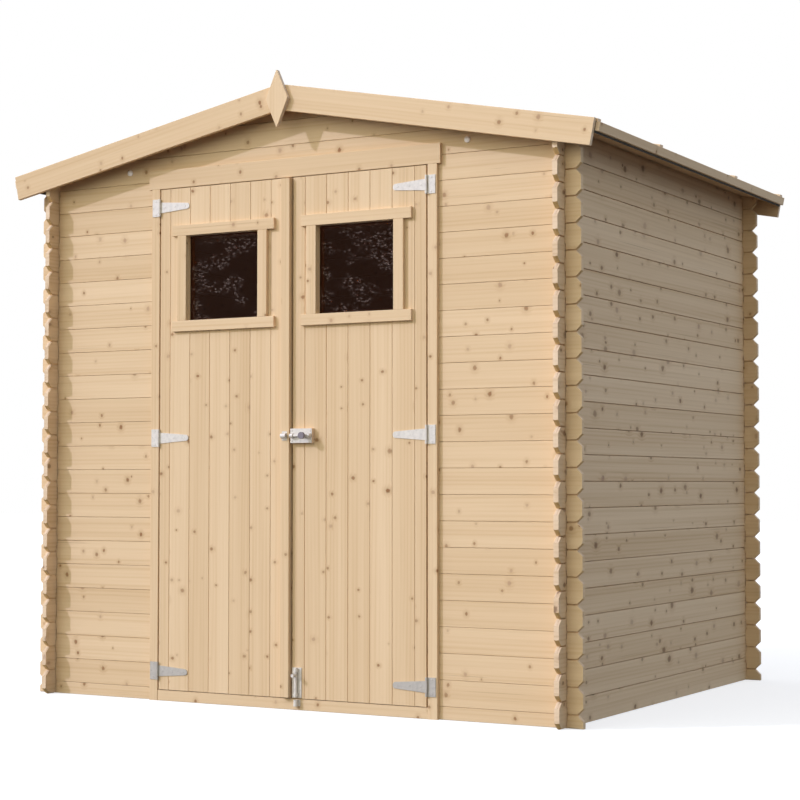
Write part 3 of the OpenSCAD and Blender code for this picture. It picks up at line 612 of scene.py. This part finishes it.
def buildRoof():
    # every roof piece is laid out along the slope, down from the apex and out from the underside
    coverTop = roof["boards"] + roof["felt"]
    bargeTop = coverTop + roof["batten"]
    run, lean = (halfW + roof["overhang"]) / math.cos(pitch), -math.tan(pitch)
    bargeT = roof["bargeT"]
    for side, sign in sides:
        down = (sign * math.cos(pitch), 0, -math.sin(pitch))
        out = (sign * math.sin(pitch), 0, math.cos(pitch))
        apex = (0, 0, apexZ)
        edges = np.linspace(-endY, endY, roof["boardCount"] + 1)
        sheet = [board(apex, down, yAxis, out, roof["boards"], [(roof["ridgeGap"], 0, lo, hi), (run, 0, lo, hi)])
                 for lo, hi in zip(edges[:-1], edges[1:])]
        name = "roof_boards_" + side
        # the darker spruce copy paints shade on the underside under the eaves
        makeBoards(name + "_planks", sheet, boardSection(), "shed", name, mat=roofShadedSpruce)
        for place, y, inward in (("front", -endY - bargeT, yAxis), ("back", endY + bargeT, minus(yAxis))):
            span = (bargeTop - roof["bargeW"], bargeTop)
            barge = board((0, y, apexZ), down, out, inward, bargeT, [(0, lean, *span), (run, 0, *span)])
            name = "%s_barge_%s" % (place, side)
            makeBoards(name + "_plank", [barge], plankSection(), "shed", name)
        outer = run + roof["felt"] + roof["eavesT"]
        rim = tuple(np.array(apex) + outer * np.array(down))
        span = (coverTop - roof["eavesH"], coverTop)
        eaves = board(rim, yAxis, out, minus(down), roof["eavesT"] - shed["hair"],
                      [(-endY, 0, *span), (endY, 0, *span)])
        name = "eaves_board_" + side
        makeBoards(name + "_plank", [eaves], plankSection(), "shed", name)
        top = tuple(np.array(apex) + bargeTop * np.array(out))
        half = roof["battenW"] / 2
        battens = [board(top, down, yAxis, minus(out), roof["batten"] - shed["hair"],
                         [(half, 0, y - half, y + half), (run + roof["battenPast"], 0, y - half, y + half)])
                   for y in roof["battenY"]]
        name = "roof_battens_" + side
        makeBoards(name + "_planks", battens, plankSection(), "shed", name)
    mid = apexZ + (bargeTop - roof["bargeW"] / 2) / math.cos(pitch) - roof["finialDrop"]
    tall, wide, tip = roof["finialH"] / 2, roof["finialW"] / 2, roof["finialTip"]
    for place, y, inward in (("front", -endY - 2 * bargeT, yAxis), ("back", endY + 2 * bargeT, minus(yAxis))):
        outline = [(-tall, 0, -tip, tip), (0, 0, -wide, wide), (tall, 0, -tip, tip)]
        kite = board((0, y, mid), zAxis, xAxis, inward, bargeT, outline)
        makeBoards(place + "_finial_plank", [kite], plankSection(), "shed", place + "_finial")


buildRoof()
print("roof boarded")

doorway = {
    "half": 0.559, "casingW": 0.036, "front": -0.883, "leafT": 0.018, "gap": 0.005,
    "jamb": (0.541, 0.577, -0.825), "lintelZ": 1.862, "lintelH": 0.069, "lintelOver": 0.012,
    "stopH": 0.018, "sillH": 0.038, "sillBack": 0.002,
}


def buildDoorway():
    # casings, lintel and sill are boxes; behind each stands a jamb with a stop for the leaf
    half, front, wall = doorway["half"], doorway["front"], -halfD
    stopX, jambX, jambY = doorway["jamb"]
    stopY, lintelZ = front + doorway["leafT"] + doorway["gap"], doorway["lintelZ"]
    for side, sign in sides:
        pairs = [((half, half + doorway["casingW"]), (front, wall)), ((half, jambX), (wall, stopY)),
                 ((stopX, jambX), (stopY, jambY))]
        planks = []
        for xs, ys in pairs:
            lo, hi = sorted((sign * xs[0], sign * xs[1]))
            planks.append(boxPlank((lo, ys[0], 0), (hi, ys[1], lintelZ), "z"))
        makeBoards("door_post_%s_planks" % side, planks, plankSection(), "shed", "door_post_" + side)
    wide = half + doorway["casingW"] + doorway["lintelOver"]
    head = [boxPlank((-wide, front, lintelZ), (wide, wall, lintelZ + doorway["lintelH"]), "x"),
            boxPlank((-jambX, wall, lintelZ), (jambX, jambY, gableZ), "x"),
            boxPlank((-stopX, stopY, lintelZ - doorway["stopH"]), (stopX, jambY, lintelZ), "x")]
    makeBoards("door_lintel_planks", head, plankSection(), "shed", "door_lintel")
    step = [boxPlank((-half, front + doorway["sillBack"], 0), (half, stopY, doorway["sillH"]), "x"),
            boxPlank((-stopX, stopY, 0), (stopX, jambY, doorway["sillH"]), "x")]
    makeBoards("door_sill_planks", step, plankSection(), "shed", "door_sill")


buildDoorway()

leaves = {"low": 0.0405, "high": 1.8592, "window": (0.122, 0.432, 1.374, 1.683), "hingeEdge": 0.554,
          "joints": (0.0715, 0.1591, 0.2467, 0.3343, 0.4219, 0.5095), "meet": (0.016, 0.021)}


def leafBoards(edges, window):
    # upright boards between the edges; those across the window stop above and below it
    low, high = leaves["low"], leaves["high"]
    x0, x1, z0, z1 = window
    boards = []
    for full in zip(edges[:-1], edges[1:]):
        lo, hi = full
        cutLo, cutHi = max(lo, x0), min(hi, x1)
        if cutHi - cutLo <= 0:
            spans = [[(low, 0, *full), (high, 0, *full)]]
        elif cutLo <= lo and cutHi >= hi:
            spans = [[(low, 0, *full), (z0, 0, *full)], [(z1, 0, *full), (high, 0, *full)]]
        else:
            keep = (lo, cutLo) if cutLo > lo else (cutHi, hi)
            spans = [[(low, 0, *full), (z0, 0, *full), (z0, 0, *keep),
                      (z1, 0, *keep), (z1, 0, *full), (high, 0, *full)]]
        boards += [board((0, doorway["front"], 0), zAxis, xAxis, yAxis, doorway["leafT"], span) for span in spans]
    return boards


def buildLeaves():
    # the left leaf's edges are the right leaf's joints mirrored, up to its own meeting edge
    near, far, z0, z1 = leaves["window"]
    joints, middle = leaves["joints"], (near + far) / 2
    left = [-leaves["hingeEdge"]] + [-x for x in reversed(joints)] + [leaves["meet"][0]]
    right = [leaves["meet"][1]] + list(joints) + [leaves["hingeEdge"]]
    # the leaves' board sides that face a window from its left get painted warm bounce light
    makeBoards("left_door_boards", leafBoards(left, (-far, -near, z0, z1)), boardSection(),
               "left_door", "left_door_leaf", revealPaintedLight=-middle)
    makeBoards("right_door_boards", leafBoards(right, (near, far, z0, z1)), boardSection(),
               "right_door", "right_door_leaf", revealPaintedLight=middle)


buildLeaves()

planked = {  # body and grain of the nodes that are plain planks; None runs the grain along each plank
    "floor_joists": ("shed", "x"), "meeting_strip": ("left_door", "z"), "latch_block": ("right_door", "x"),
    "left_door_ledges": ("left_door", "x"), "right_door_ledges": ("right_door", "x"),
    "left_window_trim": ("left_door", None), "right_window_trim": ("right_door", None),
    "left_window_beads": ("left_door", None), "right_window_beads": ("right_door", None),
}


def buildPlanked():
    # every solid of these nodes becomes a plank that fills its box
    for node, (body, grain) in planked.items():
        planks = []
        for lo, hi in solidBoxes(node):
            size = hi - lo
            planks.append(boxPlank(lo, hi, grain or ("x" if size[0] > size[2] else "z")))
        # for trims, the window's middle, left of which the sides facing the window get painted warm bounce light
        middle = np.mean(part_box(node), axis=0)[0] if "trim" in node else None
        makeBoards(node + "_planks", planks, plankSection(), body, node, revealPaintedLight=middle)


beams = {"half": 0.0225, "deep": 0.100, "easing": 0.002, "purlinX": 0.705}


def buildBeams():
    # beams under the roof, each as high as the roof's underside at its outer edge
    half, length, purlinX = beams["half"], halfD - wallT, beams["purlinX"]
    for name, places in (("ridge_beam", [0.0]), ("purlins", [-purlinX, purlinX])):
        bars = []
        for x in places:
            span = (under(x) - beams["deep"] + shed["hair"], under(abs(x) + half))
            bars.append(board((x - half, 0, 0), yAxis, zAxis, xAxis, 2 * half,
                              [(-length, 0, *span), (length, 0, *span)]))
        makeBoards(name + "_planks", bars, plankSection(beams["easing"]), "shed", name)


floor = {"count": 24, "gap": 0.002, "top": 0.038, "thick": 0.018, "doorHalf": 0.600, "doorBack": 0.047}


def buildFloor():
    # boards from front to back between the walls; those behind the doorway start at its sill
    wide, back = halfW - wallT - floor["gap"], halfD - wallT - floor["gap"]
    edges = np.linspace(-wide, wide, floor["count"] + 1)
    boards = []
    for lo, hi in zip(edges[:-1], edges[1:]):
        front = -halfD + floor["doorBack"] if max(abs(lo), abs(hi)) < floor["doorHalf"] else -back
        boards.append(board((0, 0, floor["top"]), yAxis, xAxis, minus(zAxis), floor["thick"],
                            [(front, 0, lo, hi), (back, 0, lo, hi)]))
    makeBoards("floor_boards_planks", boards, boardSection(), "shed", "floor_boards")


buildPlanked()
buildBeams()
buildFloor()
print("doors, windows, beams and floor boarded")

# Hardware

heads = {"turn": 0.42 * np.pi, "rows": 5, "rim": 0.25}  # rim is the straight edge's share of the height


def roundHeads(name, spots, radius, height, body, mat=zinc, turns=14):
    # domed heads facing the front: r and rise follow a quarter ellipse, turned about each spot's axis
    angle = np.linspace(0, 2 * np.pi, turns, endpoint=False)
    t = np.linspace(0, heads["turn"], heads["rows"])
    r = np.concatenate([[radius], radius * np.cos(t)])
    rise = np.concatenate([[0], heads["rim"] * height + (1 - heads["rim"]) * height * np.sin(t)])
    spots = np.asarray(spots, float)
    ring = np.stack([np.cos(angle), np.zeros(turns), np.sin(angle)], -1)
    co = spots[:, None, None, :] + r[:, None, None] * ring + rise[:, None, None] * np.array((0, -1, 0))
    mesh = bpy.data.meshes.new(name)
    mesh.from_pydata(co.reshape(-1, 3).tolist(), [], tubeFaces(len(spots), len(r), turns))
    linkPiece(name, mesh, mat, body)
    mesh.shade_smooth()


fixings = {
    "pinX": 0.5565, "hingeZ": (0.107, 0.950, 1.793), "sheet": 0.0025, "latchPack": 0.014,
    "strapAt": (0.022, 0.066, 0.112), "plateFrom": 0.0055,
    "plateAt": ((0.013, 0.024), (0.025, 0.0), (0.013, -0.024)),
    # radius and height of the heads
    "strapScrew": (0.0036, 0.0010), "plateScrew": (0.0034, 0.0010), "boltScrew": (0.0034, 0.0015),
    "gableBolt": (0.0115, 0.008), "gableBoltZ": 1.935, "gableTurns": 24,
    # distance of the bolts' screws from the sides and ends of their plates
    "latchInset": (0.006, 0.007), "footInset": (0.006, 0.028),
}


def plateCorners(node, y, inset):  # four points in from the corners of a plate
    lo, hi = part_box(node)
    inX, inZ = inset
    return [(x, y, z) for x in (lo[0] + inX, hi[0] - inX) for z in (lo[2] + inZ, hi[2] - inZ)]


def buildHardware():
    # screws along the hinges and at the plates' corners, and a bolt through the gable into each purlin
    face = doorway["front"] - fixings["sheet"]
    pinX, hingeZ, plateX = fixings["pinX"], fixings["hingeZ"], fixings["pinX"] + fixings["plateFrom"]
    for side, sign in sides:
        strap = [(sign * (pinX - a), face, z) for z in hingeZ for a in fixings["strapAt"]]
        plate = [(sign * (plateX + a), face, z + b) for z in hingeZ for a, b in fixings["plateAt"]]
        roundHeads(side + "_strap_screws", strap, *fixings["strapScrew"], side + "_door", hingeZinc)
        roundHeads(side + "_plate_screws", plate, *fixings["plateScrew"], "shed", hingeZinc)
    bolts = [(sign * beams["purlinX"], -halfD, fixings["gableBoltZ"]) for side, sign in sides]
    # the bolt heads' paler zinc is painted light against the barge's shadow
    roundHeads("gable_bolts", bolts, *fixings["gableBolt"], "shed", boltLitZinc, fixings["gableTurns"])
    corners = plateCorners("latch_plate", face - fixings["latchPack"], fixings["latchInset"])
    roundHeads("latch_screws", corners, *fixings["boltScrew"], "right_door")
    corners = plateCorners("foot_bolt_plate", face, fixings["footInset"])
    roundHeads("foot_screws", corners, *fixings["boltScrew"], "right_door")


buildHardware()

for node, obj in nodes.items():
    slotName = next((p["material_slot"] for p in frame["record"]["subparts"] if p["node"] == node), "")
    finish = {"zinc": zinc, "pane": paneGlass, "felt": felt}.get(slotName)
    if node == "latch_rod":
        finish = latchZinc
    elif "hinge" in node:
        finish = hingeZinc
    if finish:
        for slot in obj.material_slots:
            slot.material = finish
print("hardware and panes finished")

# Stage and light

stage = {
    "sun": 2.04, "sunWay": (0.665, 0.554, -0.50), "sunSpread": 1.2, "sunColor": (0.686, 0.712, 1.0),
    "floorHalf": 30.0, "floorZ": -0.0005, "floorGlow": 0.66, "floorPale": (0.42, 0.42, 0.42, 1),
    "floorBounce": (0.06, 0.058, 0.054, 1), "skyEven": (0.01, 0.01, 0.01),
}
skyLobes = [  # direction of the lobe, cosine where it starts, cosine where it is full, colour
    {"way": (-0.80, -0.55, 0.25), "edge": 0.2, "full": 1.0, "color": (2.180, 2.210, 2.050)},
    {"way": (0.55, -0.80, 0.25), "edge": 0.2, "full": 1.0, "color": (0.470, 0.485, 0.395)},
    {"way": (0.85, 0.45, 0.28), "edge": 0.2, "full": 1.0, "color": (0.640, 0.755, 0.955)},
    {"way": (-0.55, 0.80, 0.25), "edge": 0.2, "full": 1.0, "color": (0.700, 0.720, 0.740)},
    {"way": (-0.10, -0.99, 0.05), "edge": 0.5, "full": 1.0, "color": (0.210, 0.175, 0.000)},
    {"way": (0.0, 0.0, 1.0), "edge": 0.3, "full": 1.0, "color": (0.000, 0.010, 0.170)},
]


def seenRays(tree):  # 1 where the camera sees the surface, itself or in metal or through glass
    ray = addNode(tree, "ShaderNodeLightPath")
    return calc(tree, "MAXIMUM", ray.outputs["Is Camera Ray"],
                calc(tree, "MAXIMUM", ray.outputs["Is Glossy Ray"], ray.outputs["Is Transmission Ray"]))


def buildGround():
    # where it is seen, a glow plus the light that falls on it, white but for the shadow; else a dim bounce
    half, z = stage["floorHalf"], stage["floorZ"]
    mesh = bpy.data.meshes.new("groundSheet")
    mesh.from_pydata([(-half, -half, z), (half, -half, z), (half, half, z), (-half, half, z)], [], [(0, 1, 2, 3)])
    ground = bpy.data.objects.new("groundSheet", mesh)
    bpy.context.scene.collection.objects.link(ground)
    mat, tree, shader = newMaterial("paleGround")
    tree.nodes.remove(shader)
    glow = addNode(tree, "ShaderNodeEmission", {"Color": (1, 1, 1, 1), "Strength": stage["floorGlow"]})
    pale = addNode(tree, "ShaderNodeBsdfDiffuse", {"Color": stage["floorPale"]})
    both = addNode(tree, "ShaderNodeAddShader", {0: glow.outputs[0], 1: pale.outputs[0]})
    plain = addNode(tree, "ShaderNodeBsdfDiffuse", {"Color": stage["floorBounce"]})
    mix = addNode(tree, "ShaderNodeMixShader", {0: seenRays(tree), 1: plain.outputs[0], 2: both.outputs[0]})
    tree.links.new(mix.outputs[0], tree.nodes["Material Output"].inputs[0])
    mesh.materials.append(mat)


def buildLight():
    # the sky is white where it is seen; as light, each lobe adds its colour times an eased step of the
    # cosine to its direction
    world = bpy.data.worlds.new("studio")
    bpy.context.scene.world = world
    world.use_nodes = True
    tree = world.node_tree
    sight = addNode(tree, "ShaderNodeTexCoord").outputs["Generated"]
    sky = stage["skyEven"]
    for lobe in skyLobes:
        way = np.array(lobe["way"]) / np.linalg.norm(lobe["way"])
        toward = addNode(tree, "ShaderNodeVectorMath", {0: sight, 1: way}, operation="DOT_PRODUCT")
        share = ramp(tree, toward.outputs["Value"], lobe["edge"], lobe["full"])
        sky = addNode(tree, "ShaderNodeVectorMath", {0: share, 1: lobe["color"], 2: sky},
                      operation="MULTIPLY_ADD").outputs[0]
    tree.links.new(blendColor(tree, seenRays(tree), sky, (1, 1, 1, 1)), tree.nodes["Background"].inputs["Color"])

    lamp = bpy.data.lights.new("keySun", "SUN")
    lamp.energy = stage["sun"]
    lamp.color = stage["sunColor"]
    lamp.angle = math.radians(stage["sunSpread"])
    sun = bpy.data.objects.new("keySun", lamp)
    way = np.array(stage["sunWay"]) / np.linalg.norm(stage["sunWay"])
    sun.rotation_euler = (math.acos(-way[2]), 0, math.atan2(-way[0], way[1]))
    bpy.context.scene.collection.objects.link(sun)


buildGround()
buildLight()
bpy.context.scene.view_settings.view_transform = "Standard"
print("stage lit")
